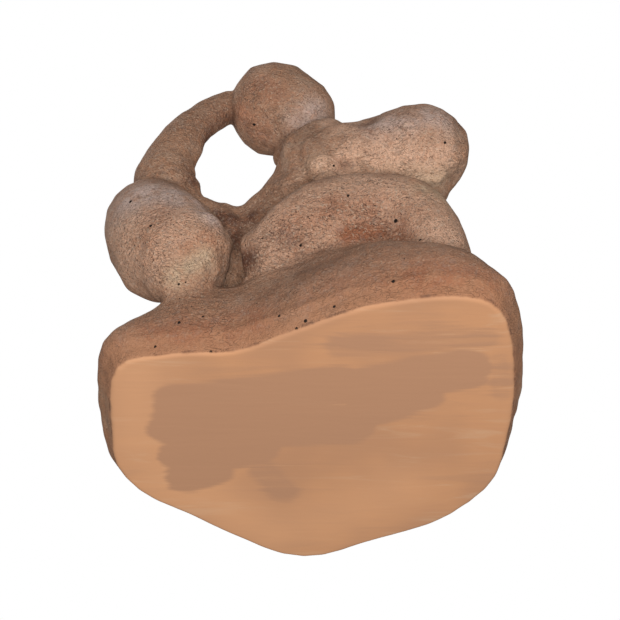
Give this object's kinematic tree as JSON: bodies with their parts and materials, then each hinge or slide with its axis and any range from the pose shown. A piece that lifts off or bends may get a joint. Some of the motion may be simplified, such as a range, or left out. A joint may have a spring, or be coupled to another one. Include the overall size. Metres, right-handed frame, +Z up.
{
  "type": "hand-built clay figure",
  "caption": "Unglazed terracotta figure of a faceless seated body on a mound, one hand arched up to its ball-shaped head.",
  "frame": {"origin": "on the flat standing face, under the middle of the base", "axes": "+Z up, -Y towards the front of the figure, +X to the right as seen from the front"},
  "size_m": [0.201, 0.1956, 0.2123],
  "materials": {
    "body_clay": "matte",
    "pale_clay": "matte",
    "dark_clay": "matte",
    "wiped_clay": "matte"
  },
  "bodies": {
    "root": {"base_slab": "wiped_clay", "plinth": "body_clay", "seat": "body_clay", "left_thigh": "body_clay", "right_thigh": "body_clay", "torso": "body_clay", "belly": "body_clay", "shoulders": "body_clay", "right_shin": "body_clay", "left_knee": "pale_clay", "right_arm": "body_clay", "left_elbow": "body_clay", "left_upper_arm": "dark_clay", "neck": "dark_clay", "head": "pale_clay", "left_forearm": "body_clay", "elbow_coil": "dark_clay"}
  },
  "joints": []
}
